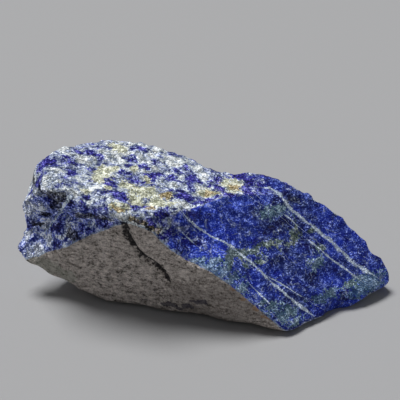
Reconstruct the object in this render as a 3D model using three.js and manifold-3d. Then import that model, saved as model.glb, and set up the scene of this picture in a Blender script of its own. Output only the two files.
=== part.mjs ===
// A piece of rough lapis lazuli, broken from the rock and left as it came: a long wedge of blue stone
// with a strip of grey weathered rind under its front edge. One natural solid, in millimetres, +Z up.
// It lies on z = 0 with its length along X, its thin tip at +X and its high blunt end at -X. The sheer
// rind is at -Y. The origin is under the middle of its outline.

import * as THREE from 'three';
import * as BufferGeometryUtils from 'three/addons/utils/BufferGeometryUtils.js';
import Module from 'manifold-3d';

// ---------------------------------------------------------------- driving dimensions

const LENGTH = 120.6;        // tip to blunt end, along X
const DEPTH = 52;            // front corner to back wall, along Y
const HEIGHT = 46;           // flat underside to the highest part of the top
const EDGE_ROUND = 0.4;      // how far a broken edge is worn, as the blending distance of two faces

// The broken faces that bound the stone: a point that each passes through, the compass bearing of its
// outward side, counted in degrees from +X towards +Y, and how far that side leans above the horizon.
const FACES = {
  rind: { at: [-22.8, -17.5, 33.0], bearing: -107.3, lean: -10 },
  veined: { at: [23.3, -26.2, 2.0], bearing: -61.3, lean: 38.5 },
  top: { at: [-4.4, -11.6, 35.0], bearing: -51, lean: 76.2 },
  lip: { at: [-26.0, -16.9, 35.6], bearing: -95, lean: 52 },
  shoulder: { at: [-45.5, 9.6, 45.2], bearing: 150.5, lean: 42 },
  bluntUpper: { at: [-54.8, 6.0, 35.5], bearing: 197, lean: 27 },
  blunt: { at: [-61.6, 3.2, 15.2], bearing: 188, lean: 8 },
  bluntCorner: { at: [-54.6, -3.7, 9.8], bearing: -165, lean: -42 },
  bluntUnder: { at: [-44.4, -5.7, 5.8], bearing: -158, lean: -64 },
  backLeft: { at: [-36.0, 19.0, 45.0], bearing: 112, lean: 30 },
  backMiddle: { at: [-8.7, 18.4, 40.9], bearing: 80, lean: 32 },
  backRight: { at: [24.5, 10.3, 33.4], bearing: 71, lean: 26 },
  backSlope: { at: [31.8, 6.4, 31.6], bearing: 62, lean: 23.5 },
  backTip: { at: [53.0, 4.0, 17.0], bearing: 50, lean: 9.5 },
  backWall: { at: [0.0, 25.0, 20.0], bearing: 90, lean: -6 },
  backUnder: { at: [-40.0, 20.0, 12.0], bearing: 140, lean: -20 },
  frontUnder: { at: [-5.0, -17.4, 1.7], bearing: -106, lean: -62 },
  rightUnder: { at: [32.1, -21.2, 2.0], bearing: -60, lean: -42 },
  tipUnder: { at: [51.5, -10.0, 2.6], bearing: -50, lean: -62 },
  tipCorner: { at: [59.5, -5.0, 3.6], bearing: -25, lean: -48 },
  tipEnd: { at: [61.4, -1.0, 6.5], bearing: -4, lean: 8 },
  underside: { at: [0, 0, -1.6], bearing: 0, lean: -90 },   // uneven, and cut flat at z = 0 at the end
};

// The block that broke away under the lip at the blunt end left these two faces, which meet in a trough.
const BREAK_FLOOR = { at: [-22.8, -17.5, 33.0], bearing: -130.4, lean: 26 };
const BREAK_WALL = { at: [-35.1, -11.1, 33.1], bearing: -120, lean: -31.4 };

// Shell-shaped scars with a crisp rim: each is a shallow bowl of the width and depth given, centred on a
// point of the surface and open towards the bearing and lean.
const SCARS = [
  { at: [43.0, -13.8, 2.5], bearing: -60, lean: -10, width: 14, depth: 1.4 },   // notch before the tip
  { at: [8.5, 14.2, 37.0], bearing: 76, lean: 42, width: 26, depth: 3.2 },      // back edge of the top
  { at: [56.3, 1.8, 13.0], bearing: 50, lean: 40, width: 7.5, depth: 1.8 },     // step down to the tip
  { at: [12.0, -9.5, 27.0], bearing: -61, lean: 42, width: 26, depth: 1.5 },    // upper veined face
  { at: [-6.5, -17.0, 29.0], bearing: -75, lean: 27, width: 15, depth: 1.7 },   // dark face by the rind
  { at: [-1.5, -18.7, 2.6], bearing: -107, lean: -30, width: 12, depth: 1.3 },  // lower edge of the rind
  { at: [-26.0, 25.0, 26.0], bearing: 95, lean: 5, width: 30, depth: 2.6 },     // back wall
  { at: [22.0, 20.0, 14.0], bearing: 70, lean: 5, width: 26, depth: 2.2 },      // foot of the back slope
  { at: [-44.9, -4.4, 32.4], bearing: -118, lean: -6, width: 8.4, depth: 4.3 }, // pit under the ledge
];

// Soft bosses, and pits where the rise is below zero, each fading out at its reach.
const BOSSES = [
  { at: [-55.5, 2.0, 25.5], reach: 7.5, rise: 3.2 },    // boss at the blunt end
  { at: [-38.5, -9.5, 34.5], reach: 6.5, rise: 2.4 },   // buttress under the lip
  { at: [-44.0, -8.5, 39.5], reach: 4.5, rise: 1.3 },   // ledge over the pit
  { at: [-51.5, 3.0, 40.0], reach: 7, rise: 2.0 },      // knob above the boss
  { at: [-45.0, -7.0, 6.0], reach: 6.5, rise: -1.3 },   // hollow under the blunt end
  { at: [-58.5, 1.0, 16.0], reach: 8, rise: 2.0 },      // foot below the boss
  { at: [-55.0, 6.0, 36.0], reach: 3.2, rise: -1.8 },   // notch under the knob
  { at: [-27.0, 17.0, 44.0], reach: 12, rise: 1.0 },    // swell on the back of the top
  { at: [17.0, -14.0, 22.5], reach: 9, rise: 0.9 },     // ridge across the veined face
];

// The crack that runs down the rind from the lip, and the dark seam at the foot of the boss. Each is a
// rounded groove along a path.
const CRACK = {
  path: [
    [-23.5, -16.8, 33.0], [-22.3, -15.5, 28.5], [-20.3, -15.6, 24.3], [-18.0, -16.2, 21.6],
    [-14.5, -16.8, 19.3], [-11.9, -17.1, 16.8], [-10.6, -16.5, 12.4],
  ],
  halfWidth: 1.6,
  depth: 1.4,
};
const SEAM = {
  path: [
    [-56.0, 2.4, 21.6], [-54.1, 1.4, 22.0], [-51.6, -0.1, 23.6], [-48.4, -0.6, 26.5],
  ],
  halfWidth: 1.8,
  depth: 1.5,
};

// Unevenness of the broken rock, as random noise: its lump size, and its height on each kind of face.
const WANDER = { size: 9, height: 0.9 };                                    // of the edges
const SWELL = { size: 7, height: 0.40 };
const RIDGES = { size: 4.2, height: 0.14, onTop: 0.24, inBreak: 0.45 };
const GRAIN = { size: 2.1, height: 0.08, onTop: 0.16, inBreak: 0.22 };
const BREAK_REACH = 2.5;     // how far round the break its rough texture goes
const TOP_REACH = 3;         // and the same for the top

// The net of points that is drawn onto the stone: a box round its middle, divided this often along each
// side, whose points look outwards from a spine along the length. Net and spine lean with the stone.
const NET = { divisions: [50, 19, 16], size: [120, 48, 40], middle: [0, 0, 19], spine: 40 };
const NET_LEAN = { y: -0.10, z: -0.24 };   // sideways and upward slope of the spine per unit of X
const FARTHEST = 75;                       // no point of the surface is farther than this from the spine
const HALVINGS = 18;                       // steps in finding the surface, for an error under 0.001 mm
const ON_GROUND = 0.3;                     // a point this near z = 0 is put on it, to leave no slivers

// ---------------------------------------------------------------- the stone as a field

// Unit vector towards a bearing and lean.
function facing(bearing, lean) {
  const turn = THREE.MathUtils.degToRad(bearing);
  const rise = THREE.MathUtils.degToRad(lean);
  return new THREE.Vector3(
    Math.cos(turn) * Math.cos(rise),
    Math.sin(turn) * Math.cos(rise),
    Math.sin(rise),
  );
}

const planeOf = ({ at, bearing, lean }) =>
  new THREE.Plane().setFromNormalAndCoplanarPoint(facing(bearing, lean), new THREE.Vector3(...at));

// The sphere that presses a scar of the given width and depth into the surface.
function bowlOf({ at, bearing, lean, width, depth }) {
  const radius = (width * width) / (8 * depth) + depth / 2;
  const centre = new THREE.Vector3(...at).addScaledVector(facing(bearing, lean), radius - depth);
  return new THREE.Sphere(centre, radius);
}

const facePlanes = Object.values(FACES).map(planeOf);
const topPlane = planeOf(FACES.top);
const breakFloor = planeOf(BREAK_FLOOR);
const breakWall = planeOf(BREAK_WALL);
const scarBowls = SCARS.map(bowlOf);
const bossCentres = BOSSES.map(({ at }) => new THREE.Vector3(...at));

// The straight pieces of a groove's path.
function linesOf({ path }) {
  const points = path.map((point) => new THREE.Vector3(...point));
  return points.slice(1).map((end, i) => new THREE.Line3(points[i], end));
}

const grooves = [CRACK, SEAM].map((groove) => ({ ...groove, lines: linesOf(groove) }));

// The larger of a and b, with the crease between them rounded over the distance k.
function smoothMax(a, b, k) {
  const mix = THREE.MathUtils.clamp(0.5 + (0.5 * (a - b)) / k, 0, 1);
  return b + (a - b) * mix + k * mix * (1 - mix);
}

const smoothMin = (a, b, k) => -smoothMax(-a, -b, k);

// 1 at the middle, falling smoothly to 0 at r = 1.
const fall = (r) => Math.max(0, 1 - r * r) ** 2;

// A random number from 0 to 1 that belongs to one point of the whole-number lattice.
function latticeValue(x, y, z) {
  const s = Math.sin(x * 127.1 + y * 311.7 + z * 74.7) * 43758.5453;
  return s - Math.floor(s);
}

const ease = (t) => t * t * t * (t * (t * 6 - 15) + 10);

// Random noise from -1 to 1 with lumps of the given size: lattice values blended by smooth steps.
function noise(p, size, offset) {
  const [x, y, z] = [p.x / size + offset, p.y / size + offset, p.z / size + offset];
  const [ix, iy, iz] = [Math.floor(x), Math.floor(y), Math.floor(z)];
  const [fx, fy, fz] = [ease(x - ix), ease(y - iy), ease(z - iz)];
  let sum = 0;
  for (let corner = 0; corner < 8; corner++) {
    const [cx, cy, cz] = [corner & 1, (corner >> 1) & 1, corner >> 2];
    const weight = (cx ? fx : 1 - fx) * (cy ? fy : 1 - fy) * (cz ? fz : 1 - fz);
    sum += weight * latticeValue(ix + cx, iy + cy, iz + cz);
  }
  return 2 * sum - 1;
}

// The point moved about by noise, which makes straight edges wander.
function wander(p) {
  const shift = new THREE.Vector3(
    noise(p, WANDER.size, 11.3),
    noise(p, WANDER.size, 27.7),
    noise(p, WANDER.size, 43.1),
  );
  return shift.multiplyScalar(WANDER.height).add(p);
}

// Distance to the nearest of the lines.
function distanceToLines(p, lines) {
  const nearest = new THREE.Vector3();
  return Math.min(...lines.map((line) => line.closestPointToPoint(p, true, nearest).distanceTo(p)));
}

// Rough distance from p to the stone's surface, below zero inside.
function stone(p) {
  const q = wander(p);
  const distances = facePlanes.map((plane) => plane.distanceToPoint(q));
  const largest = Math.max(...distances);
  const spread = distances.reduce((sum, d) => sum + Math.exp((d - largest) / EDGE_ROUND), 0);
  let out = largest + EDGE_ROUND * Math.log(spread);

  const floor = breakFloor.distanceToPoint(q);
  const wall = breakWall.distanceToPoint(q);
  const broken = smoothMin(floor, wall, 2 * EDGE_ROUND);
  out = smoothMax(out, broken, EDGE_ROUND);
  for (const bowl of scarBowls) {
    out = smoothMax(out, -bowl.distanceToPoint(q), EDGE_ROUND);
  }
  BOSSES.forEach(({ reach, rise }, i) => {
    out -= rise * fall(p.distanceTo(bossCentres[i]) / reach);
  });

  const inBreak = THREE.MathUtils.clamp(1 + Math.min(broken, 0) / BREAK_REACH, 0, 1);
  const onTop = THREE.MathUtils.clamp(1.5 + topPlane.distanceToPoint(p) / TOP_REACH, 0, 1);
  const ridges = 1 - 2 * Math.abs(noise(p, RIDGES.size, 9));
  out -= SWELL.height * noise(p, SWELL.size, 5);
  out -= (RIDGES.height + RIDGES.inBreak * inBreak + RIDGES.onTop * onTop) * ridges;
  out -= (GRAIN.height + GRAIN.inBreak * inBreak + GRAIN.onTop * onTop) * noise(p, GRAIN.size, 3);
  for (const { lines, halfWidth, depth } of grooves) {
    out += depth * fall(distanceToLines(p, lines) / halfWidth);
  }
  return out;
}

// ---------------------------------------------------------------- the stone as a solid

// The lean of net and spine, added to a point or a direction.
function leaned(v) {
  return new THREE.Vector3(v.x, v.y + NET_LEAN.y * v.x, v.z + NET_LEAN.z * v.x);
}

// Where the line of sight from the spine through a point of the net leaves the stone. The underside is
// left hanging below z = 0.
function onSurface(netPoint) {
  const along = netPoint.x / (NET.size[0] / 2);
  const foot = new THREE.Vector3(along * NET.spine, 0, 0);
  const sight = leaned(netPoint.clone().sub(foot)).normalize();
  const start = leaned(foot).add(new THREE.Vector3(...NET.middle));
  let [near, far] = [0, FARTHEST];
  for (let i = 0; i < HALVINGS; i++) {
    const middle = (near + far) / 2;
    const inside = stone(start.clone().addScaledVector(sight, middle)) < 0;
    [near, far] = inside ? [middle, far] : [near, middle];
  }
  const found = start.addScaledVector(sight, near);
  if (Math.abs(found.z) < ON_GROUND) {
    found.z = 0;
  }
  return found;
}

// Parts each four-sided mesh cell along the diagonal that keeps closer to the stone, so that the sharp
// edges run clean. A BoxGeometry lists its cells as two triangles each: a, b, d and b, c, d.
function turnDiagonals(geometry) {
  const index = geometry.getIndex();
  const position = geometry.getAttribute('position');
  const corner = (i) => new THREE.Vector3().fromBufferAttribute(position, i);
  const misfit = (i, j) => Math.abs(stone(corner(i).lerp(corner(j), 0.5)));
  for (let cell = 0; cell < index.count; cell += 6) {
    const [a, b, d, , c] = index.array.slice(cell, cell + 5);
    if (misfit(a, c) < misfit(b, d)) {
      index.array.set([a, b, c, a, c, d], cell);
    }
  }
}

// The whole surface as one closed mesh: a finely divided box with its points moved onto the stone.
function rockGeometry() {
  const box = new THREE.BoxGeometry(...NET.size, ...NET.divisions);
  box.deleteAttribute('normal');
  box.deleteAttribute('uv');
  const geometry = BufferGeometryUtils.mergeVertices(box);
  const position = geometry.getAttribute('position');
  const point = new THREE.Vector3();
  for (let i = 0; i < position.count; i++) {
    const moved = onSurface(point.fromBufferAttribute(position, i));
    position.setXYZ(i, moved.x, moved.y, moved.z);
  }
  turnDiagonals(geometry);
  return geometry;
}

// A block below z = 0, wide enough to take off all that hangs there.
function groundGeometry() {
  const margin = 20;
  const block = new THREE.BoxGeometry(LENGTH + margin, DEPTH + margin, HEIGHT);
  block.translate(0, 0, -HEIGHT / 2);
  block.deleteAttribute('normal');
  block.deleteAttribute('uv');
  return BufferGeometryUtils.mergeVertices(block);
}

const wasm = await Module();
wasm.setup();

function toSolid(geometry) {
  return new wasm.Manifold(new wasm.Mesh({
    numProp: 3,
    vertProperties: new Float32Array(geometry.getAttribute('position').array),
    triVerts: new Uint32Array(geometry.getIndex().array),
  }));
}

function toGeometry(solid) {
  const mesh = solid.getMesh();
  const geometry = new THREE.BufferGeometry();
  geometry.setAttribute('position', new THREE.BufferAttribute(mesh.vertProperties, 3));
  geometry.setIndex(new THREE.BufferAttribute(mesh.triVerts, 1));
  geometry.computeVertexNormals();
  return geometry;
}

// The stone stands on the flat left where the ground block takes off what hangs below z = 0.
const stoneSolid = toSolid(rockGeometry()).subtract(toSolid(groundGeometry()));

const lapis = new THREE.MeshStandardMaterial({ color: 0x4a5590, roughness: 0.75, metalness: 0 });
const lapisStone = new THREE.Mesh(toGeometry(stoneSolid), lapis);
lapisStone.name = 'lapis_stone';

const part = new THREE.Group();
part.name = 'rough_lapis_lazuli';
part.add(lapisStone);

export default part;
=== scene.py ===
import bpy
import numpy as np
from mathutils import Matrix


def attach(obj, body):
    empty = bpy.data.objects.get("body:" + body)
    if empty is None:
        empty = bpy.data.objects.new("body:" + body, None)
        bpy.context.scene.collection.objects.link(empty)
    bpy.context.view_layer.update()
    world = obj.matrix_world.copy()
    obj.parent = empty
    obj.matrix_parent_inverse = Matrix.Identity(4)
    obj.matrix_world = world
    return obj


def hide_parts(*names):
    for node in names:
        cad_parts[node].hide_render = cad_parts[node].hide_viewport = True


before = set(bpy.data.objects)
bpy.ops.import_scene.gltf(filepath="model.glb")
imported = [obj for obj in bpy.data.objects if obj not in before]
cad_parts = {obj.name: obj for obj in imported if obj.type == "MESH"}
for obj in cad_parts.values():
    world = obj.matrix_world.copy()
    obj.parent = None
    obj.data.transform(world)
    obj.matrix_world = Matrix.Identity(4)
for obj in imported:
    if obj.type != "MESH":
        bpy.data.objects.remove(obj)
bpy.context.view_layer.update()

# ---- The stone's body --------------------------------------------------------------------------------------
# A wedge of rough lapis lazuli knocked off a seam with a hammer: plane breaks, shell-shaped scars, and one
# corner broken out under the lip of the blunt end. It is one closed body of rock, left as it broke, and it
# rests on its underside. All sizes here are millimetres in the part's frame: X along the stone, Z up.

MM = 0.001
EDGE_ROUND = 0.4

# Each face is a point on its plane, the compass bearing that it looks in and how far it leans up, in degrees.
FACES = {
    "rind": ((-22.8, -17.5, 33.0), -107.3, -10.0),
    "veined": ((23.3, -26.2, 2.0), -61.3, 38.5),
    "top": ((-4.4, -11.6, 35.0), -51.0, 76.2),
    "lip": ((-26.0, -16.9, 35.6), -95.0, 52.0),
    "shoulder": ((-45.5, 9.6, 45.2), 150.5, 42.0),
    "blunt_upper": ((-54.8, 6.0, 35.5), 197.0, 27.0),
    "blunt": ((-61.6, 3.2, 15.2), 188.0, 8.0),
    "blunt_corner": ((-54.6, -3.7, 9.8), -165.0, -42.0),
    "blunt_under": ((-44.4, -5.7, 5.8), -158.0, -64.0),
    "back_left": ((-36.0, 19.0, 45.0), 112.0, 30.0),
    "back_middle": ((-8.7, 18.4, 40.9), 80.0, 32.0),
    "back_right": ((24.5, 10.3, 33.4), 71.0, 26.0),
    "back_slope": ((31.8, 6.4, 31.6), 62.0, 23.5),
    "back_tip": ((53.0, 4.0, 17.0), 50.0, 9.5),
    "back_wall": ((0.0, 25.0, 20.0), 90.0, -6.0),
    "back_under": ((-40.0, 20.0, 12.0), 140.0, -20.0),
    "front_under": ((-5.0, -17.4, 1.7), -106.0, -62.0),
    "right_under": ((32.1, -21.2, 2.0), -60.0, -42.0),
    "tip_under": ((51.5, -10.0, 2.6), -50.0, -62.0),
    "tip_corner": ((59.5, -5.0, 3.6), -25.0, -48.0),
    "tip_end": ((61.4, -1.0, 6.5), -4.0, 8.0),
    "underside": ((0.0, 0.0, -1.6), 0.0, -90.0),
}
# The corner that is broken out is a step, with a floor and an overhanging wall.
BREAK_FLOOR = ((-22.8, -17.5, 33.0), -130.4, 26.0)
BREAK_WALL = ((-35.1, -11.1, 33.1), -120.0, -31.4)
# Each scar is a shallow shell: its middle, its bearing and lean, then its width and its depth.
SCARS = {
    "right_notch": ((43.0, -13.8, 2.5), -60.0, -10.0, 14.0, 1.4),
    "back_dent": ((8.5, 14.2, 37.0), 76.0, 42.0, 26.0, 3.2),
    "tip_step": ((56.3, 1.8, 13.0), 50.0, 40.0, 7.5, 1.8),
    "veined_scar": ((12.0, -9.5, 27.0), -61.0, 42.0, 26.0, 1.5),
    "dark_scar": ((-6.5, -17.0, 29.0), -75.0, 27.0, 15.0, 1.7),
    "under_notch": ((-1.5, -18.7, 2.6), -107.0, -30.0, 12.0, 1.3),
    "back_scar_left": ((-26.0, 25.0, 26.0), 95.0, 5.0, 30.0, 2.6),
    "back_scar_right": ((22.0, 20.0, 14.0), 70.0, 5.0, 26.0, 2.2),
    "pit": ((-44.9, -4.4, 32.4), -118.0, -6.0, 8.4, 4.3),
}
# Bosses and pits: the middle, the reach, and the rise, which is negative for a pit.
BOSSES = (
    ((-55.5, 2.0, 25.5), 7.5, 3.2),
    ((-38.5, -9.5, 34.5), 6.5, 2.4),
    ((-44.0, -8.5, 39.5), 4.5, 1.3),
    ((-51.5, 3.0, 40.0), 7.0, 2.0),
    ((-45.0, -7.0, 6.0), 6.5, -1.3),
    ((-58.5, 1.0, 16.0), 8.0, 2.0),
    ((-55.0, 6.0, 36.0), 3.2, -1.8),
    ((-27.0, 17.0, 44.0), 12.0, 1.0),
    ((17.0, -14.0, 22.5), 9.0, 0.9),
)
# The crack down the rind, and the dark seam under the boss: the path, the groove's half width and its depth.
CRACK = (
    (-23.5, -16.8, 33.0), (-22.3, -15.5, 28.5), (-20.3, -15.6, 24.3), (-18.0, -16.2, 21.6),
    (-14.5, -16.8, 19.3), (-11.9, -17.1, 16.8), (-10.6, -16.5, 12.4),
)
GROOVES = (
    (CRACK, 1.6, 0.9),
    (CRACK, 0.8, 1.3),
    (((-56.0, 2.4, 21.6), (-54.1, 1.4, 22.0), (-51.6, -0.1, 23.6), (-48.4, -0.6, 26.5)), 1.8, 1.5),
)
# Uneven ground: the size of the unevenness and its height, then what is added on the top and in the break.
WANDER_SIZE = 9.0
WANDER_HEIGHT = 0.9
SWELL = (7.0, 0.40, 0.0, 0.0)
RIDGES = (4.2, 0.14, 0.24, 0.45)
GRAIN = (2.1, 0.08, 0.16, 0.22)
CRUMB = (1.1, 0.035, 0.15, 0.15)
BREAK_REACH = 2.5
TOP_REACH = 3.0


def facing(bearing, lean):
    """The unit vector that looks along a compass bearing and leans up from level by an angle, in degrees."""
    turn, rise = np.radians(bearing), np.radians(lean)
    return np.array([np.cos(turn) * np.cos(rise), np.sin(turn) * np.cos(rise), np.sin(rise)])


def noise(points):
    """Value noise from -1 to 1: a hashed number on each whole point of space, blended by a quintic ease."""
    corner = np.floor(points)
    part = points - corner
    ease = part ** 3 * (part * (part * 6 - 15) + 10)
    total = 0.0
    for step in np.ndindex(2, 2, 2):
        share = np.prod(np.where(step, ease, 1 - ease), axis=-1)
        wave = np.sin((corner + step) @ np.array([127.1, 311.7, 74.7])) * 43758.5453
        total = total + share * (wave - np.floor(wave))
    return 2 * total - 1


def smooth_max(one, other, reach):
    """The larger of two values, blended by a quadratic where they are within `reach` of each other."""
    blend = np.clip(0.5 + 0.5 * (one - other) / reach, 0, 1)
    return other + (one - other) * blend + reach * blend * (1 - blend)


def above(points, face):
    """How far each point lies outside a face's plane: (point - a point on the plane) along where it faces."""
    at, bearing, lean = face
    return (points - np.array(at)) @ facing(bearing, lean)


def hollow(points, scar):
    """How far each point lies inside the ball that left a scar: the ball's radius less the distance to it."""
    at, bearing, lean, width, depth = scar
    radius = width ** 2 / 8 / depth + depth / 2
    middle = np.array(at) + facing(bearing, lean) * (radius - depth)
    return radius - np.linalg.norm(points - middle, axis=-1)


def fall(distance):
    """A round hump: 1 at the middle, 0 at distance 1 and beyond, (1 - distance squared) squared between."""
    return np.clip(1 - distance ** 2, 0, None) ** 2


def along_path(points, path):
    """The distance from each point to the nearest straight piece of a path, and how far along it that is."""
    corners = np.array(path, float)
    lengths = np.linalg.norm(np.diff(corners, axis=0), axis=-1)
    nearest, reached = np.full(len(points), np.inf), np.zeros(len(points))
    for start, end, gone, length in zip(corners, corners[1:], np.cumsum(lengths) - lengths, lengths):
        part = np.clip((points - start) @ (end - start) / length ** 2, 0, 1)
        off = np.linalg.norm(points - start - part[:, None] * (end - start), axis=-1)
        reached = np.where(off < nearest, gone + part * length, reached)
        nearest = np.minimum(off, nearest)
    return nearest, reached / lengths.sum()


def breaks(points):
    """The height of each point over every break: the faces in turn, the broken-out corner, then the scars."""
    wandering = [noise(points / WANDER_SIZE + offset) for offset in (11.3, 27.7, 43.1)]
    moved = points + WANDER_HEIGHT * np.stack(wandering, -1)
    faces = [above(moved, face) for face in FACES.values()]
    corner = -smooth_max(-above(moved, BREAK_FLOOR), -above(moved, BREAK_WALL), 2 * EDGE_ROUND)
    scars = [hollow(moved, scar) for scar in SCARS.values()]
    return np.stack([*faces, corner, *scars], -1)


def stone(points):
    """The rough signed distance to the rock: the smooth maximum of all breaks, less the bosses, less layers
    of noise that are rougher on the top and in the break, plus the grooves. It is cut off at the ground."""
    over = breaks(points)
    count = len(FACES)
    highest = over[:, :count].max(-1)
    rock = highest + EDGE_ROUND * np.log(np.exp((over[:, :count] - highest[:, None]) / EDGE_ROUND).sum(-1))
    for column in range(count, over.shape[1]):
        rock = smooth_max(rock, over[:, column], EDGE_ROUND)
    for at, reach, rise in BOSSES:
        rock = rock - rise * fall(np.linalg.norm(points - np.array(at), axis=-1) / reach)
    in_break = np.clip(1 + np.minimum(over[:, count], 0) / BREAK_REACH, 0, 1)
    on_top = np.clip(1.5 + above(points, FACES["top"]) / TOP_REACH, 0, 1)
    for (size, height, top_height, break_height), offset, ridged in (
        (SWELL, 5.0, False), (RIDGES, 9.0, True), (GRAIN, 3.0, False), (CRUMB, 17.0, False)
    ):
        waves = noise(points / size + offset)
        waves = 1 - 2 * np.abs(waves) if ridged else waves
        rock = rock - (height + top_height * on_top + break_height * in_break) * waves
    for path, half_width, depth in GROOVES:
        rock = rock + depth * fall(along_path(points, path)[0] / half_width)
    return np.maximum(rock, -points[:, 2])


# The skin is the net of a box, its points pushed out along rays from a leaning line inside the stone.
NET = ((240, 92, 80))
NET_HALF = np.array([60.0, 24.0, 20.0])
NET_MIDDLE = np.array([0.0, 0.0, 19.0])
SPINE_HALF = 40.0
NET_LEAN = np.array([0.0, -0.10, -0.24])
FARTHEST = 75.0
HALVINGS = 18
GROUND_NEAR = 0.01


def box_net(cells):
    """The points of a box's six sides on a whole-number grid, each once, and the squares between them, whose
    corners run anticlockwise from outside."""
    squares = []
    for axis in range(3):
        first, second = (axis + 1) % 3, (axis + 2) % 3
        a, b = np.meshgrid(np.arange(cells[first]), np.arange(cells[second]), indexing="ij")
        ring = np.zeros((a.size, 4, 3), int)
        ring[:, :, first] = a.reshape(-1, 1) + np.array([0, 1, 1, 0])
        ring[:, :, second] = b.reshape(-1, 1) + np.array([0, 0, 1, 1])
        far = ring.copy()
        far[:, :, axis] = cells[axis]
        squares += [ring[:, ::-1], far]
    corners, place = np.unique(np.concatenate(squares).reshape(-1, 3), axis=0, return_inverse=True)
    return corners, place.reshape(-1, 4)


def skin(corners, cells):
    """Each net point's ray from the line inside, and where the stone's surface cuts it, found by halving."""
    unit = 2 * corners / np.array(cells) - 1
    foot = np.zeros_like(unit)
    foot[:, 0] = unit[:, 0] * SPINE_HALF
    away = unit * NET_HALF - foot
    foot = foot + foot[:, :1] * NET_LEAN
    away = away + away[:, :1] * NET_LEAN
    away = away / np.linalg.norm(away, axis=-1, keepdims=True)
    foot = foot + NET_MIDDLE
    near, far = np.zeros(len(unit)), np.full(len(unit), FARTHEST)
    for _ in range(HALVINGS):
        middle = (near + far) / 2
        outside = stone(foot + away * middle[:, None]) > 0
        near, far = np.where(outside, near, middle), np.where(outside, middle, far)
    return foot + away * ((near + far) / 2)[:, None]


net, squares = box_net(NET)
places = skin(net, NET)
places[np.abs(places[:, 2]) < GROUND_NEAR, 2] = 0.0
# Each square is cut along whichever diagonal lies nearer the surface, so that ridges run clean.
one_way = np.abs(stone((places[squares[:, 0]] + places[squares[:, 2]]) / 2))
other_way = np.abs(stone((places[squares[:, 1]] + places[squares[:, 3]]) / 2))
turned = np.where((other_way < one_way)[:, None], np.roll(squares, -1, axis=1), squares)
triangles = np.concatenate([turned[:, [0, 1, 2]], turned[:, [0, 2, 3]]])

mesh = bpy.data.meshes.new("rough_stone")
mesh.vertices.add(len(places))
mesh.vertices.foreach_set("co", (places * MM).astype(np.float32).ravel())
mesh.loops.add(triangles.size)
mesh.loops.foreach_set("vertex_index", triangles.astype(np.int32).ravel())
mesh.polygons.add(len(triangles))
mesh.polygons.foreach_set("loop_start", np.arange(0, triangles.size, 3, dtype=np.int32))
mesh.update(calc_edges=True)
mesh.shade_smooth()
rough_stone = bpy.data.objects.new("rough_stone", mesh)
bpy.context.scene.collection.objects.link(rough_stone)

# ---- The minerals in the rock ------------------------------------------------------------------------------
# Lapis is blue lazurite grown through with white calcite and green diopside. The weathered top is mostly
# bleached calcite with cream stains, the fresh veined face mostly blue, and a skin of grey host rock is left
# on the front. How much of each mineral lies where is worked out at each point of the skin.

over = breaks(places)
names = [*FACES, "break", *SCARS]
x, y, z = places.T
# Spots are drawn on shaken coordinates, so that their rims come out torn.
SHAKE_SIZE = 1.8
SHAKE_REACH = 0.9
shaking = [noise(places / SHAKE_SIZE + offset) for offset in (61.3, 73.9, 89.1)]
shaken = places + SHAKE_REACH * np.stack(shaking, -1)


def zone(*members):
    """How far inside a group of breaks a point lies: the group's highest less the highest of all others."""
    inside = np.isin(names, members)
    return over[:, inside].max(-1) - over[:, ~inside].max(-1)


def ramp(value, low, high):
    """0 at `low`, 1 at `high`, eased by a cubic between."""
    part = np.clip((value - low) / (high - low), 0, 1)
    return part * part * (3 - 2 * part)


def spots(plane, ovals):
    """How deep each point lies in the nearest of some ovals, seen from above or from the front: 1 at an
    oval's middle, 0 at its rim, falling on beyond it down to -1. An oval is its middle and its half sizes."""
    ovals = np.array(ovals, float)
    across, along = shaken[:, :1], shaken[:, 1:2] if plane == "above" else shaken[:, 2:]
    off = np.hypot((across - ovals[:, 0]) / ovals[:, 2], (along - ovals[:, 1]) / ovals[:, 3])
    return np.clip(1 - off.min(-1), -1, 1)


def lay(name, values):
    """Stores one number for each point of the skin, for the material to read."""
    held = mesh.attributes.new(name, "FLOAT", "POINT")
    held.data.foreach_set("value", values.astype(np.float32))


def only(values, where):
    """The values where `where` is 1, and -1 where it is 0."""
    return values * where - (1 - where)


# The host rock ends along this line on the front: across, then up. It is drawn as seen from the front, so it
# holds only for what lies in front of the middle.
RIND_EDGE = (
    (-60.0, 10.5), (-56.7, 12.6), (-52.3, 14.4), (-44.5, 19.6), (-37.5, 24.0), (-30.9, 28.1), (-25.5, 31.4),
    (-21.5, 32.5), (-17.7, 31.9), (-15.0, 30.9), (-12.6, 27.6), (-10.1, 25.6), (-5.2, 22.3), (-0.6, 20.5),
    (1.9, 19.4), (5.7, 16.8), (10.1, 13.2), (15.9, 8.3), (21.3, 3.4), (26.0, -2.0),
)
RIND_MARGIN = 1.5
FRONT_ENDS = 5.0
NOT_RIND = -5.0
edge_across, edge_up = np.array(RIND_EDGE).T
under_edge = np.interp(x, edge_across, edge_up) - z
rind = zone("rind", "front_under", "under_notch", "blunt_under") + RIND_MARGIN
rind = np.where(y < FRONT_ENDS, np.minimum(rind, under_edge), NOT_RIND)
on_top = ramp(zone("top", "lip", "shoulder", "blunt_upper", "back_dent"), -1.2, 1.2)
on_break = ramp(zone("break", "pit"), -0.8, 0.8)
on_blunt = ramp(zone("blunt", "blunt_corner"), -1.0, 1.0)
on_veined = ramp(
    zone("veined", "right_notch", "veined_scar", "dark_scar", "tip_step", "tip_corner", "tip_end"), -0.8, 0.8
)

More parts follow.
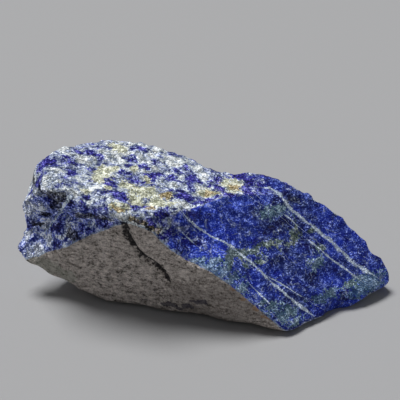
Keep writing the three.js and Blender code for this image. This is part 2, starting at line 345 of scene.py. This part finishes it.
# Seen from above, the top is spotted with cream and gold stains, blue lazurite and the whitest calcite.
CREAM_SPOTS = (
    (-31.5, -1.2, 2.8, 4.4), (-28.2, 14.4, 2.6, 2.8), (-18.8, -6.6, 3.8, 3.4), (-23.7, -4.5, 1.8, 2.0),
    (-24.8, -16.6, 3.2, 1.8), (-14.1, -11.0, 2.8, 3.2), (-11.3, -6.8, 1.8, 1.8), (1.8, -2.0, 3.8, 1.8),
    (8.6, 3.7, 3.2, 4.4), (-28.5, -8.4, 1.5, 1.6), (-28.6, 2.4, 1.8, 2.6), (-17.4, -0.5, 1.6, 1.5),
    (-20.4, -11.4, 2.4, 2.0), (-9.7, -10.8, 1.4, 2.2), (-34.6, -10.2, 1.8, 1.0), (-22.1, 4.4, 1.5, 1.4),
)
BLUE_SPOTS = (
    (-21.0, 14.1, 2.7, 2.4), (-24.2, 9.8, 2.2, 1.8), (-28.5, -6.0, 2.2, 1.5), (-15.5, 2.5, 2.7, 2.4),
    (-12.5, -13.3, 1.5, 1.4), (-21.4, 0.1, 2.0, 2.2), (-26.0, 0.8, 1.8, 2.6), (-18.5, 5.7, 1.8, 1.8),
    (-33.1, 7.9, 1.8, 1.8), (-40.7, -1.9, 2.0, 2.4), (-35.2, -11.3, 2.2, 1.0), (-25.1, -10.7, 2.2, 1.8),
    (-21.5, -15.0, 2.4, 1.6), (-18.0, -13.2, 1.5, 1.4), (-45.5, 0.5, 3.4, 4.0), (-36.0, 11.0, 2.4, 2.2),
    (-6.0, -6.1, 2.4, 2.6), (-1.5, -8.6, 2.8, 1.8), (-10.2, 3.4, 2.4, 1.5), (-4.0, 3.4, 2.4, 1.5),
    (2.6, -6.4, 2.6, 1.6), (5.2, 0.6, 1.8, 1.6), (12.2, 1.4, 2.4, 2.2), (7.4, -2.6, 2.2, 1.3),
    (5.5, 6.5, 2.2, 1.4), (15.9, 5.0, 3.0, 1.2), (20.8, 6.0, 2.6, 1.6), (0.1, 2.5, 1.8, 1.4),
    (-49.0, 1.0, 2.6, 4.0), (-41.5, 3.5, 2.2, 1.8),
)
WHITE_SPOTS = (
    (-8.1, 16.0, 4.6, 3.2), (-13.4, 11.0, 2.8, 2.3), (-0.9, 11.7, 3.9, 2.7), (-17.5, 9.6, 2.4, 2.2),
    (-23.7, 2.4, 1.8, 1.6), (-37.4, 3.4, 2.4, 1.6), (-37.8, -6.7, 2.2, 2.2), (-29.9, 7.7, 2.0, 1.6),
    (-4.6, -0.9, 2.8, 1.6), (-44.0, 8.3, 2.0, 2.0), (12.7, 4.0, 2.2, 1.4), (3.3, 8.8, 2.8, 2.2),
    (-43.5, -10.4, 3.6, 1.8),
)
GOLD_SPOTS = (
    (-15.4, -14.4, 2.0, 1.6), (-11.6, -6.8, 2.0, 1.8), (1.8, -2.2, 2.8, 1.4), (9.4, 2.4, 2.8, 2.4),
    (-24.4, -17.0, 2.6, 1.4),
)
# The broken-out corner, seen from the front: whitish patches on its boss and floor; and near-black painted
# shade in the pit and a notch, under the boss and under the lip, with one dark blue patch on the floor.
BREAK_PALE = (
    (-55.5, 28.3, 3.6, 2.8), (-54.0, 32.5, 2.4, 1.8), (-48.6, 20.3, 1.6, 2.2), (-53.5, 16.0, 2.4, 1.6),
    (-51.5, 28.9, 2.8, 1.6), (-51.0, 13.6, 2.2, 0.9), (-46.0, 22.5, 2.0, 0.7), (-36.0, 28.6, 2.6, 0.7),
)
BREAK_SHADE_AND_DARK_BLUE = (
    (-43.6, 38.0, 4.4, 2.0), (-44.4, 35.0, 3.2, 2.8), (-45.6, 31.6, 2.0, 2.6), (-53.0, 38.4, 1.8, 1.6),
    (-53.2, 24.0, 3.4, 0.9), (-40.2, 24.6, 2.4, 1.5), (-35.5, 32.2, 3.6, 1.4), (-29.2, 33.0, 3.8, 1.1),
    (-50.4, 27.0, 2.2, 1.0),
)
cream = spots("above", CREAM_SPOTS)
blue = spots("above", BLUE_SPOTS)
white = spots("above", WHITE_SPOTS)
# How far each place is bleached from blue towards white: on the top less and less towards the tip, and in the
# break most on the blunt end and less behind.
top_pale = 0.59 - 0.06 * ramp(x, -20.0, -4.0) - 0.28 * ramp(x, -8.0, 20.0) - 0.04 * ramp(-x, 37.0, 42.0)
top_pale = top_pale + 0.09 * np.clip(white + 0.3, 0, 1) - 0.45 * ramp(blue, -0.4, 0.5)
top_pale = np.where(cream > -0.2, np.maximum(top_pale, 0.60), top_pale)
break_pale = 0.50 + 0.18 * ramp(-x, 46.0, 54.0) - 0.20 * ramp(y, 6.0, 12.0)
break_pale = break_pale + 0.60 * np.clip(spots("front", BREAK_PALE) + 0.3, 0, 1)
# The veined face is bleached only in crumbs beside the lip, and the top less towards the tip.
bleached_top = (1 - on_veined) * (1 - 0.7 * on_top * ramp(x, 4.0, 26.0))
bleached_crumbs = 0.80 * on_veined * ramp(-x, 3.0, 11.0) * ramp(z, 24.0, 30.0)
lay("pale", break_pale + (top_pale - break_pale) * on_top)
lay("bleached", bleached_top + bleached_crumbs)
lay("in_break", np.maximum(on_break, on_blunt) * (1 - on_top))
lay("cream", only(cream, on_top))
lay("gold", only(spots("above", GOLD_SPOTS), on_top))
# The hollow amount marks where the break gets its painted shade, and one dark blue patch.
lay("hollow", only(spots("front", BREAK_SHADE_AND_DARK_BLUE), y < FRONT_ENDS))
lay("rind", rind)

# Seen from the front, green and teal stains lie across the veined face, with richer and darker blue, clouded
# grey and sky blue between them.
GREEN_SPOTS = (
    (7.9, 21.6, 2.6, 1.5), (11.7, 21.2, 2.2, 1.1), (15.3, 21.0, 1.9, 1.1), (19.0, 21.9, 2.2, 1.3),
    (22.3, 21.8, 1.8, 1.1), (27.7, 22.3, 1.8, 2.4), (26.6, 20.4, 1.7, 0.9), (17.0, 18.6, 1.8, 1.0),
    (12.1, 19.0, 1.6, 0.9), (33.8, 22.2, 1.8, 0.8), (36.0, 18.2, 1.6, 0.9), (45.9, 6.5, 2.8, 1.1),
)
TEAL_SPOTS = (
    (-2.0, 21.6, 3.0, 1.1), (1.6, 20.8, 3.2, 1.5), (4.8, 19.5, 2.8, 2.0), (7.8, 17.0, 2.4, 1.7),
    (2.8, 21.7, 2.2, 1.1), (11.0, 13.8, 1.8, 1.4), (23.5, 5.5, 3.8, 1.7), (20.5, 7.9, 2.6, 1.5),
    (26.9, 3.4, 2.6, 1.1), (16.6, 9.1, 1.5, 1.4), (50.9, 5.8, 7.0, 2.6), (37.0, 6.3, 4.8, 1.3),
    (35.1, 14.9, 2.8, 1.5), (21.5, 29.3, 4.6, 1.6),
)
RICH_SPOTS = (
    (18.0, 12.5, 2.8, 2.1), (5.1, 29.7, 4.3, 2.2), (10.7, 32.5, 3.2, 1.3), (1.5, 24.3, 4.6, 1.6),
    (29.2, 15.2, 5.2, 2.4), (46.5, 12.1, 4.2, 1.9), (36.2, 25.8, 2.8, 1.5), (8.0, 26.5, 3.6, 1.6),
)
DARK_SPOTS = (
    (-4.4, 31.4, 2.8, 3.4), (-9.6, 28.4, 2.6, 1.8), (-5.6, 25.9, 3.0, 1.8), (0.0, 30.6, 1.8, 2.3),
    (29.3, 31.2, 4.1, 1.1), (43.8, 4.6, 3.4, 1.7), (23.2, 25.6, 4.0, 2.0), (-12.0, 31.6, 2.2, 1.2),
)
GREY_SPOTS = ((20.7, 29.5, 5.3, 2.3), (24.8, 26.4, 3.4, 2.0), (17.4, 25.0, 2.8, 1.8), (44.5, 12.0, 7.0, 4.0))
SKY_SPOTS = ((28.8, 33.8, 2.0, 1.2), (20.5, 35.3, 3.4, 1.2))
for name, ovals in (
    ("green", GREEN_SPOTS), ("teal", TEAL_SPOTS), ("rich", RICH_SPOTS), ("dark", DARK_SPOTS),
    ("sky", SKY_SPOTS),
):
    lay(name, only(spots("front", ovals), on_veined))
cloudier = 0.55 * ramp(x, 0.0, 24.0) - 0.4 * ramp(x, 31.0, 42.0) - 0.25
lay("clouded", cloudier + 0.4 * np.clip(spots("front", GREY_SPOTS) + 0.3, 0, 1))

# The host rock is darker towards the lower right, which is painted shade; it is inky where blue shows through
# low on the front, moss green at the left end and rusty along its right edge. Under the lip, black and cream
# crumbs are mixed.
# This oval is painted shade towards the lower right, not a stain.
LOW_RIGHT_SHADE_SPOTS = ((4.0, 7.0, 15.0, 9.0),)
INKY_SPOTS = (
    (-8.4, 3.4, 2.4, 0.9), (-11.6, 4.0, 2.4, 0.7), (-5.0, 4.8, 2.6, 1.0), (-1.5, 7.2, 2.2, 0.7),
    (-19.0, 4.2, 1.6, 0.5),
)
MOSS_SPOTS = ((-51.0, 10.5, 6.0, 3.6), (-44.0, 9.0, 4.0, 3.0))
RUST_SPOTS = ((9.0, 14.6, 1.6, 0.8), (11.6, 12.0, 1.4, 0.9), (14.8, 8.6, 1.8, 0.9), (17.6, 6.0, 1.6, 0.9))
PEPPER_SPOTS = (
    (-20.6, 34.2, 2.0, 1.0), (-17.8, 33.4, 1.8, 1.1), (-15.2, 31.8, 1.6, 1.2), (-13.0, 31.0, 1.2, 1.2),
)
LIP_ENDS = -8.0
for name, ovals in (("dusky", LOW_RIGHT_SHADE_SPOTS), ("inky", INKY_SPOTS), ("moss", MOSS_SPOTS), ("rust", RUST_SPOTS)):
    lay(name, spots("front", ovals))
lay("pepper", only(spots("front", PEPPER_SPOTS), y < LIP_ENDS))

# Veins are old cracks that filled with calcite, so each is a thin sheet through the stone. It is given by the
# line that it draws on the veined face and by its widths at both ends, and it runs in under that face.
VEINS = {
    "long": ((0.50, 0.80), (
        (-6.9, -13.3, 34.6), (-4.8, -13.6, 32.0), (-1.9, -13.9, 29.4), (1.4, -14.2, 27.1), (5.3, -14.1, 25.2),
        (8.3, -13.7, 23.0), (12.5, -14.9, 19.6), (18.0, -17.4, 15.2), (24.0, -19.3, 10.2), (33.5, -19.6, 1.9),
    )),
    "branch": ((0.42, 0.30), (
        (18.9, -17.1, 14.8), (22.4, -17.2, 12.8), (26.4, -17.7, 10.1), (29.6, -17.3, 7.8),
    )),
    "low": ((0.32, 0.32), ((12.7, -20.5, 14.9), (15.2, -21.3, 12.5), (19.4, -23.0, 8.6))),
    "tip": ((0.65, 1.0), (
        (14.9, 3.9, 35.1), (21.1, 4.2, 34.2), (23.6, 2.0, 33.0), (25.5, 0.8, 30.8), (27.7, 0.3, 28.3),
        (31.4, -0.5, 25.5), (35.5, -1.4, 22.4), (39.4, -1.9, 19.1), (42.2, -2.3, 16.7), (45.5, -3.0, 13.5),
        (48.8, -4.1, 10.9), (55.6, -4.3, 6.8),
    )),
    "tip_branch": ((0.55, 0.50), (
        (32.0, -4.2, 20.8), (35.2, -5.2, 18.4), (39.0, -5.7, 15.0), (45.2, -5.9, 10.4), (50.8, -7.3, 6.5),
    )),
    "dark_face": ((0.24, 0.24), ((-6.9, -15.1, 29.0), (-4.8, -15.9, 27.1), (-3.2, -16.4, 25.9))),
    "short": ((0.45, 0.30), ((24.6, -2.2, 28.3), (26.6, -2.2, 26.7), (29.4, -2.8, 24.2))),
    "break_upper": ((0.70, 0.40), (
        (-38.6, -12.0, 39.2), (-39.1, -12.0, 38.3), (-40.5, -11.7, 36.6), (-41.8, -11.2, 35.0),
    )),
    "break_lower": ((0.60, 0.35), (
        (-44.3, -1.3, 30.4), (-45.7, -2.3, 28.1), (-47.5, -2.0, 25.5), (-49.9, -1.2, 22.6),
        (-52.3, -0.5, 19.8),
    )),
}
SHEETS_RUN = -facing(FACES["veined"][1], FACES["veined"][2])
EVEN_STEPS = np.linspace(0, 1, 64)
VEIN_WAVER = 1.6
VEIN_END = 0.10
THINNEST = 0.02
FAR_OFF = 9.0


def line_side(corners, side):
    """A path's own place along `side`, at even steps of its length."""
    gone = np.concatenate([[0], np.cumsum(np.linalg.norm(np.diff(corners, axis=0), axis=-1))])
    return np.interp(EVEN_STEPS, gone / gone[-1], corners @ side)


def sheet(points, widths, path):
    """How far a point lies to one side of a thin sheet, in half widths of the sheet. The sheet is the path
    carried in one direction, so both are looked at along it: the distance to the path, with the sign of the
    side. It thins towards its ends, and swells and pinches by noise."""
    corners = np.array(path, float)
    side = np.cross(SHEETS_RUN, corners[-1] - corners[0])
    side = side / np.linalg.norm(side)
    flat = np.eye(3) - np.outer(SHEETS_RUN, SHEETS_RUN)
    off, reached = along_path(points @ flat, corners @ flat)
    middle = np.interp(reached, EVEN_STEPS, line_side(corners @ flat, side))
    taper = ramp(np.minimum(reached, 1 - reached), -0.01, VEIN_END)
    half = np.interp(reached, (0, 1), widths) / 2 * taper * (1 + 0.6 * noise(points / VEIN_WAVER))
    signed = np.where(points @ side < middle, -off, off)
    return np.clip(signed / np.maximum(half, THINNEST), -FAR_OFF, FAR_OFF)


for name, (widths, path) in VEINS.items():
    lay("vein_" + name, sheet(places, widths, path))
# The crack is wide at the lip and closes towards its lower end. How far a point lies from its edge is
# measured along the rind's face, and off the rind it counts as far away.
CRACK_WIDTH = (1.7, 0.8)
NOT_CRACK = 5
rind_way = facing(*FACES["rind"][1:])
in_face = np.eye(3) - np.outer(rind_way, rind_way)
from_crack, gone = along_path(places @ in_face, np.array(CRACK) @ in_face)
from_crack = np.clip(from_crack - np.interp(gone, (0, 1), CRACK_WIDTH) / 2, -1, NOT_CRACK)
lay("crack", from_crack + NOT_CRACK * (rind < -RIND_MARGIN))

# ---- The look of the stone ---------------------------------------------------------------------------------
# Rough lapis lazuli, broken and left unpolished: dull crystal grains about half a millimetre across, each of
# one mineral, with a few that catch the light. The host rock's skin is finer, earthy and quite matt.

lapis = bpy.data.materials.new("broken_lapis_lazuli")
lapis.use_nodes = True
rock = lapis.node_tree
rock.nodes.clear()


def linear(sheen):
    """An sRGB hex colour as linear red, green, blue and full alpha."""
    parts = np.array([int(sheen[at:at + 2], 16) for at in (1, 3, 5)]) / 255
    light = np.where(parts > 0.04045, ((parts + 0.055) / 1.055) ** 2.4, parts / 12.92)
    return (*light.tolist(), 1.0)


def add(kind, inputs, stops=(), **settings):
    """Adds a node to the rock with its settings, and fills each input with a value or with another node's
    output. A colour ramp also takes its stops: each a place on it and a hex colour."""
    made = rock.nodes.new(kind)
    for name, value in settings.items():
        setattr(made, name, value)
    for key, value in inputs.items():
        if isinstance(value, bpy.types.NodeSocket):
            rock.links.new(value, made.inputs[key])
        else:
            made.inputs[key].default_value = value
    if stops:
        held = made.color_ramp.elements
        while len(held) < len(stops):
            held.new(0.5)
        for stop, (at, sheen) in zip(held, stops):
            stop.position = at
            stop.color = linear(sheen)
    return made


def weigh(start, *parts):
    """The start plus each value times its weight."""
    for value, weight in parts:
        start = add("ShaderNodeMath", {0: value, 1: weight, 2: start}, operation="MULTIPLY_ADD").outputs[0]
    return start


def where(start, *parts, soft):
    """1 where a weighed sum is above zero and 0 where it is below, with an edge that is soft by so much."""
    return add("ShaderNodeMapRange", {0: weigh(start, *parts), 1: -soft, 2: soft}).outputs[0]


def laid_over(under, amount, strength, top):
    """One colour laid over another where there is an amount of it, and never more than its strength."""
    amount = add("ShaderNodeMath", {0: amount, 1: strength}, operation="MULTIPLY").outputs[0]
    return add("ShaderNodeMix", {0: amount, 6: under, 7: top}, data_type="RGBA").outputs[2]


# Patterns are laid in millimetres, at a scale of 1 over the size of what they draw. The grains, and the
# dust-sized crystals between them, are drawn a little coarser than the real ones, which are too fine to show.
GRAIN_MM = 0.7
DUST_MM = 0.45
FINE_MM = 0.35
CLOUD_MM = 1.9
BEND_MM = 0.8
BEND_REACH = (0.9, 0.9, 0.9)
place = add("ShaderNodeTexCoord", {}).outputs["Object"]
spot = add("ShaderNodeVectorMath", {0: place, "Scale": 1 / MM}, operation="SCALE").outputs[0]
bend = add("ShaderNodeTexNoise", {"Vector": spot, "Scale": 1 / BEND_MM, "Detail": 1.0}).outputs["Color"]
bent = add("ShaderNodeVectorMath", {0: bend, 1: BEND_REACH, 2: spot}, operation="MULTIPLY_ADD").outputs[0]
grains = add("ShaderNodeTexVoronoi", {"Vector": bent, "Scale": 1 / GRAIN_MM})
draw = add("ShaderNodeSeparateColor", {0: grains.outputs["Color"]}).outputs
crystals = add("ShaderNodeTexVoronoi", {"Vector": spot, "Scale": 1 / DUST_MM})
dust = add("ShaderNodeSeparateColor", {0: crystals.outputs["Color"]}).outputs
fine = add("ShaderNodeTexNoise", {"Vector": spot, "Scale": 1 / FINE_MM, "Detail": 2.0}).outputs[0]
cloud = add("ShaderNodeTexNoise", {"Vector": spot, "Scale": 1 / CLOUD_MM, "Detail": 3.0}).outputs[0]

# The minerals change over millimetres, in patches drawn out a little along the stone.
PATCH_MM = 3.6
DRAWN_OUT = (0.72, 1.0, 1.0)
drawn_out = add("ShaderNodeMapping", {"Vector": bent, "Scale": DRAWN_OUT}).outputs[0]
patches = add("ShaderNodeTexNoise", {
    "Vector": drawn_out, "Scale": 1 / PATCH_MM, "Detail": 2.0, "Roughness": 0.6, "Distortion": 0.4,
})
patch = add("ShaderNodeSeparateColor", {0: patches.outputs["Color"]}).outputs
# Lightness changes as strongly over half a millimetre as over two.
MOTTLE_MM = 2.4
mottling = add("ShaderNodeTexNoise", {
    "Vector": spot, "Scale": 1 / MOTTLE_MM, "Detail": 3.0, "Roughness": 1.0,
})
mottle = add("ShaderNodeSeparateColor", {0: mottling.outputs["Color"]}).outputs

read = {
    held.name: add("ShaderNodeAttribute", {}, attribute_name=held.name).outputs["Fac"]
    for held in mesh.attributes if held.data_type == "FLOAT" and held.domain == "POINT"
}


def where_shown(name, spread, grain):
    """Where a mineral, or the host rock's painted shade, shows: its stored amount, its edge broken up by the
    mottling and each grain's draw.
    """
    parts = ((read[name], 1.0), (mottle[1], spread), (draw[2], grain))
    return where(-0.5 * spread - 0.5 * grain, *parts, soft=0.12)


# The blue ground is lazurite, from deep to full blue, greyer and duller where it is clouded.
LAZURITE = ((0.0, "#02147c"), (0.30, "#1a38be"), (0.50, "#304edc"), (0.70, "#4462f2"), (1.0, "#6c8aff"))
CLOUDED = ((0.0, "#001044"), (0.30, "#102470"), (0.50, "#1e3480"), (0.70, "#304494"), (1.0, "#5a6cb8"))
tone = weigh(-0.18, (patch[0], 1.4))
for name, strength in (("rich", 0.08), ("dark", -0.30), ("sky", 0.25)):
    tone = weigh(tone, (where_shown(name, 2.0, 0.4), strength))
blue_ground = add("ShaderNodeValToRGB", {0: tone}, stops=LAZURITE).outputs[0]
grey_ground = add("ShaderNodeValToRGB", {0: tone}, stops=CLOUDED).outputs[0]
is_clouded = where(-1.0, (read["clouded"], 1.0), (patch[1], 2.0), soft=0.5)
colour = laid_over(blue_ground, is_clouded, 1.0, grey_ground)
# Green diopside, and the blue-green where it is mixed with the lazurite.
DIOPSIDE = ((0.1, "#34504e"), (0.5, "#728670"), (0.9, "#a8b090"))
AQUA = ((0.1, "#365a82"), (0.5, "#72949e"), (0.9, "#acc4be"))
for name, spread, strength, stops in (("green", 3.6, 0.8, DIOPSIDE), ("teal", 4.0, 0.7, AQUA)):
    green_ground = add("ShaderNodeValToRGB", {0: tone}, stops=stops).outputs[0]
    colour = laid_over(colour, where_shown(name, spread, 0.6), strength, green_ground)

# Where calcite takes over, one run of shades leads from violet blue over grey blue to white. In the
# broken-out corner and on the blunt end it is fresher, and its run stays bluer.
CALCITE = (
    (0.0, "#241c98"), (0.24, "#3434b0"), (0.36, "#6470b4"), (0.48, "#9ca8d2"), (0.62, "#c2cee6"),
    (0.80, "#e2ebf2"), (1.0, "#f6fbfd"),
)
FRESHER = (
    (0.0, "#161a78"), (0.24, "#282ea4"), (0.38, "#4654c4"), (0.52, "#687cda"), (0.68, "#96a6f0"),
    (0.86, "#b8c6f8"), (1.0, "#e0e9fd"),
)
bleach = weigh(-1.94, (patch[2], 2.4), (mottle[1], 1.5), (draw[0], 0.12), (read["pale"], 1.0))
weathered = add("ShaderNodeValToRGB", {0: bleach}, stops=CALCITE).outputs[0]
fresher = add("ShaderNodeValToRGB", {0: bleach}, stops=FRESHER).outputs[0]
calcite = laid_over(weathered, read["in_break"], 1.0, fresher)
is_bleached = where(-1.7, (read["bleached"], 1.4), (patch[1], 2.0), soft=0.2)
colour = laid_over(colour, is_bleached, 1.0, calcite)

# Hair-fine white veinlets wander through it in places, along the middle line of a noise.
VEINLET_MM = 5.0
web = add("ShaderNodeTexNoise", {
    "Vector": spot, "Scale": 1 / VEINLET_MM, "Detail": 2.0, "Distortion": 0.6,
}).outputs[0]
web = add("ShaderNodeMath", {0: weigh(-0.5, (web, 1.0))}, operation="ABSOLUTE").outputs[0]
web = add("ShaderNodeMapRange", {0: weigh(web, (dust[1], 0.012)), 1: 0.022, 2: 0.010}).outputs[0]
web = weigh(0.0, (web, where(-0.50, (mottle[2], 1.0), soft=0.06)))
colour = laid_over(colour, web, 0.55, linear("#c4d2ee"))

# Cream stains of limonite, golden where it is thick.
LIMONITE = ((0.1, "#bcbeac"), (0.45, "#e2e5ca"), (0.9, "#f6f7e6"))
limonite = add("ShaderNodeValToRGB", {0: patch[0]}, stops=LIMONITE).outputs[0]
is_cream = where(-1.18, (mottle[1], 2.4), (read["cream"], 0.9), soft=0.14)
colour = laid_over(colour, is_cream, 1.0, limonite)
is_gold = where(-1.25, (mottle[1], 2.2), (read["gold"], 0.8), soft=0.1)
colour = laid_over(colour, is_gold, 0.6, linear("#c8a25a"))
# Near-black painted shade in the hollows of the break, under its boss and under its lip, with one dark blue
# patch that is the stone's own; and mixed black, brown and cream crumbs under the lip.
CRUMBS = ((0.0, "#0c0a1c"), (0.45, "#1d1838"), (0.62, "#8e8466"), (0.85, "#cfc3a8"), (1.0, "#d9c6d6"))
is_shade_and_dark_blue = where(-0.85, (read["hollow"], 1.0), (mottle[1], 1.6), soft=0.2)
colour = laid_over(colour, is_shade_and_dark_blue, 0.85, linear("#1c2034"))
crumbs = add("ShaderNodeValToRGB", {0: draw[1]}, stops=CRUMBS).outputs[0]
colour = laid_over(colour, where_shown("pepper", 1.6, 0.5), 1.0, crumbs)

# The veins are white near the middle of their sheets, with ragged sides and gaps.
for name in VEINS:
    off = weigh(-1.2, (fine, 2.4), (read["vein_" + name], 1.0))
    off = add("ShaderNodeMath", {0: off}, operation="ABSOLUTE").outputs[0]
    off = weigh(off, (mottle[1], 6.0), (dust[1], 0.9))
    in_vein = add("ShaderNodeMapRange", {0: off, 1: 5.0, 2: 4.1}).outputs[0]
    colour = laid_over(colour, in_vein, 1.0, linear("#d6e6fa"))

SCREEN_GAMMA = 2.2


def lightened(colour, step):
    """A colour made lighter or darker by the same visible step in red, green and blue: raised to 1 over the
    screen's gamma, stepped, kept from going below black, and raised back."""
    seen = add("ShaderNodeGamma", {"Color": colour, "Gamma": 1 / SCREEN_GAMMA}).outputs[0]
    seen = add("ShaderNodeVectorMath", {0: seen, 1: step}, operation="ADD").outputs[0]
    seen = add("ShaderNodeVectorMath", {0: seen, 1: (0.0, 0.0, 0.0)}, operation="MAXIMUM").outputs[0]
    return add("ShaderNodeGamma", {"Color": seen, "Gamma": SCREEN_GAMMA}).outputs[0]


# Over all of it, grain by grain, lie light and dark specks: painted light and painted shade on the grains,
# mixed with tone that differs from grain to grain, and a few dust-sized crystals with a painted glint. The
# specks are stronger in the break, and they darken the bleached parts more than the blue.
painted_glints = where(-1.36, (dust[0], 1.0), (mottle[1], 1.1), soft=0.08)
# They rise and fall with the ground's bump heights, so low ground gets painted shade and high ground painted
# light.
grain_tone_and_painted_light = weigh(-2.16, (mottle[0], 2.3), (draw[1], 0.20), (dust[1], 0.34), (fine, 1.3), (painted_glints, 0.20))
grain_tone_and_painted_light = weigh(0.0, (grain_tone_and_painted_light, weigh(1.0, (read["in_break"], 0.5))))
darkest = weigh(-0.11, (is_bleached, -0.24))
grain_tone_and_painted_light = add("ShaderNodeMath", {0: grain_tone_and_painted_light, 1: darkest}, operation="MAXIMUM").outputs[0]
colour = lightened(colour, grain_tone_and_painted_light)

# The host rock's skin is an earthy grey with wavy level streaks and dark flecks. It is darker towards the
# lower right as painted shade, its stains are moss green, rust and inky blue, and the lapis is paler along
# its torn edge.
STREAK_MM = 0.8
LEVEL = (0.42, 0.42, 1.0)
HOST = ((0.16, "#3a3634"), (0.34, "#989088"), (0.52, "#c6bcb6"), (0.84, "#f2e8e0"))
# The first of these is painted shade towards the lower right; the rest are stains.
HOST_STAINS_AND_SHADE = (
    ("dusky", 0.4, "#6c6460"), ("moss", 0.45, "#8b9486"), ("rust", 0.6, "#b08a66"), ("inky", 0.7, "#1c1e3c"),
)
level = add("ShaderNodeMapping", {"Vector": bent, "Scale": LEVEL}).outputs[0]
streaks = add("ShaderNodeTexNoise", {
    "Vector": level, "Scale": 1 / STREAK_MM, "Detail": 5.0, "Roughness": 0.75,
}).outputs[0]
earth = weigh(-1.20, (streaks, 1.7), (fine, 0.6), (mottle[0], 1.1))
host = add("ShaderNodeValToRGB", {0: earth}, stops=HOST).outputs[0]
for name, strength, sheen in HOST_STAINS_AND_SHADE:
    host = laid_over(host, where_shown(name, 1.0, 0.6), strength, linear(sheen))
torn_edge = weigh(-0.35, (read["rind"], 1.0), (cloud, 0.8))
is_rind = where(-0.05, (torn_edge, 1.0), soft=0.08)
rim = add("ShaderNodeMapRange", {0: weigh(torn_edge, (draw[0], 0.5)), 1: -0.9, 2: -0.1}).outputs[0]
near_edge = add("ShaderNodeMapRange", {0: read["rind"], 1: -0.9, 2: -0.6}).outputs[0]
broken_up = where(-1.15, (mottle[0], 2.0), (draw[1], 0.3), soft=0.1)
rim = weigh(0.0, (weigh(0.0, (rim, near_edge)), broken_up))
colour = laid_over(colour, rim, 0.75, linear("#a9bcd0"))
colour = laid_over(colour, is_rind, 1.0, host)
# The crack is painted near black, as painted shade in its depth, with torn sides.
torn_crack = weigh(-4.4, (mottle[1], 5.0), (cloud, 4.0), (read["crack"], 1.0))
crack_shade = add("ShaderNodeMapRange", {0: torn_crack, 1: 0.45, 2: 0.0}).outputs[0]
colour = laid_over(colour, crack_shade, 0.92, linear("#15141c"))

# Grains stand a quarter of a millimetre proud and the crumbly ground between them half of one. A third of the
# grains are crystal faces with some shine, the rest are dull, and the host rock's skin is duller still.
GRAIN_PROUD = 0.25
GROUND_PROUD = 0.5
HOST_DULL = 0.9
bumps = add("ShaderNodeBump", {
    "Height": grains.outputs["Distance"], "Distance": GRAIN_PROUD * MM, "Strength": 0.8,
}, invert=True).outputs[0]
ground = weigh(0.0, (fine, 0.6), (mottle[0], 1.6), (mottle[2], 1.6))
bumps = add("ShaderNodeBump", {
    "Height": ground, "Distance": GROUND_PROUD * MM, "Strength": 1.0, "Normal": bumps,
}).outputs[0]
dull = add("ShaderNodeMapRange", {0: draw[1], 1: 0.0, 2: 0.35, 3: 0.35, 4: 0.75}).outputs[0]
dull = add("ShaderNodeMix", {0: is_rind, 2: dull, 3: HOST_DULL}).outputs[0]
shader = add("ShaderNodeBsdfPrincipled", {
    "Base Color": colour, "Roughness": dull, "Normal": bumps, "IOR": 1.5, "Specular IOR Level": 0.3,
})
add("ShaderNodeOutputMaterial", {"Surface": shader.outputs[0]})
mesh.materials.append(lapis)

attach(rough_stone, "root")
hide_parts("lapis_stone")

# ---- The stand ---------------------------------------------------------------------------------------------
# A plain pale floor that runs on out of sight, under one soft light overhead, a little behind and to the
# left, with dim air all round. None of it belongs to the stone.

# The floor is matt grey paper, which takes the stone's soft shadow without a shine.
FLOOR_HALF = 2.0
PAPER_DULL = 0.95
floor_mesh = bpy.data.meshes.new("studio_floor")
floor_corners = FLOOR_HALF * np.array([(-1, -1, 0), (1, -1, 0), (1, 1, 0), (-1, 1, 0)])
floor_mesh.from_pydata(floor_corners.tolist(), [], [(0, 1, 2, 3)])
floor = bpy.data.objects.new("studio_floor", floor_mesh)
bpy.context.scene.collection.objects.link(floor)
paper = bpy.data.materials.new("matt_grey_paper")
paper.use_nodes = True
paper_shader = paper.node_tree.nodes["Principled BSDF"]
paper_shader.inputs["Base Color"].default_value = linear("#b4b4b5")
paper_shader.inputs["Roughness"].default_value = PAPER_DULL
floor_mesh.materials.append(paper)

LAMP_POWER = 2.6
LAMP_SPREAD = np.radians(26.0)
LAMP_LEAN = (np.radians(-14.0), np.radians(-16.0), 0.0)
AIR_GLOW = 0.13
lamp = bpy.data.lights.new("soft_overhead", "SUN")
lamp.energy = LAMP_POWER
lamp.angle = LAMP_SPREAD
hung = bpy.data.objects.new("soft_overhead", lamp)
hung.rotation_euler = LAMP_LEAN
bpy.context.scene.collection.objects.link(hung)

world = bpy.data.worlds.new("studio_air")
world.use_nodes = True
air = world.node_tree.nodes["Background"].inputs
air["Color"].default_value = linear("#f2f5fa")
air["Strength"].default_value = AIR_GLOW
bpy.context.scene.world = world
bpy.context.scene.view_settings.view_transform = "Standard"

# The camera looks along +Y and a little down, through a lens as long as one and a half frame widths.
EYE_PLACE = (-1.5 * MM, -170 * MM, 110 * MM)
EYE_DOWN = 24.6
FRAME_WIDTH = 36.0
eye = bpy.data.cameras.new("eye")
eye.sensor_width = FRAME_WIDTH
eye.lens = 1.5 * FRAME_WIDTH
camera = bpy.data.objects.new("eye", eye)
camera.location = EYE_PLACE
camera.rotation_euler = (np.radians(90 - EYE_DOWN), 0.0, 0.0)
bpy.context.scene.collection.objects.link(camera)
bpy.context.scene.camera = camera
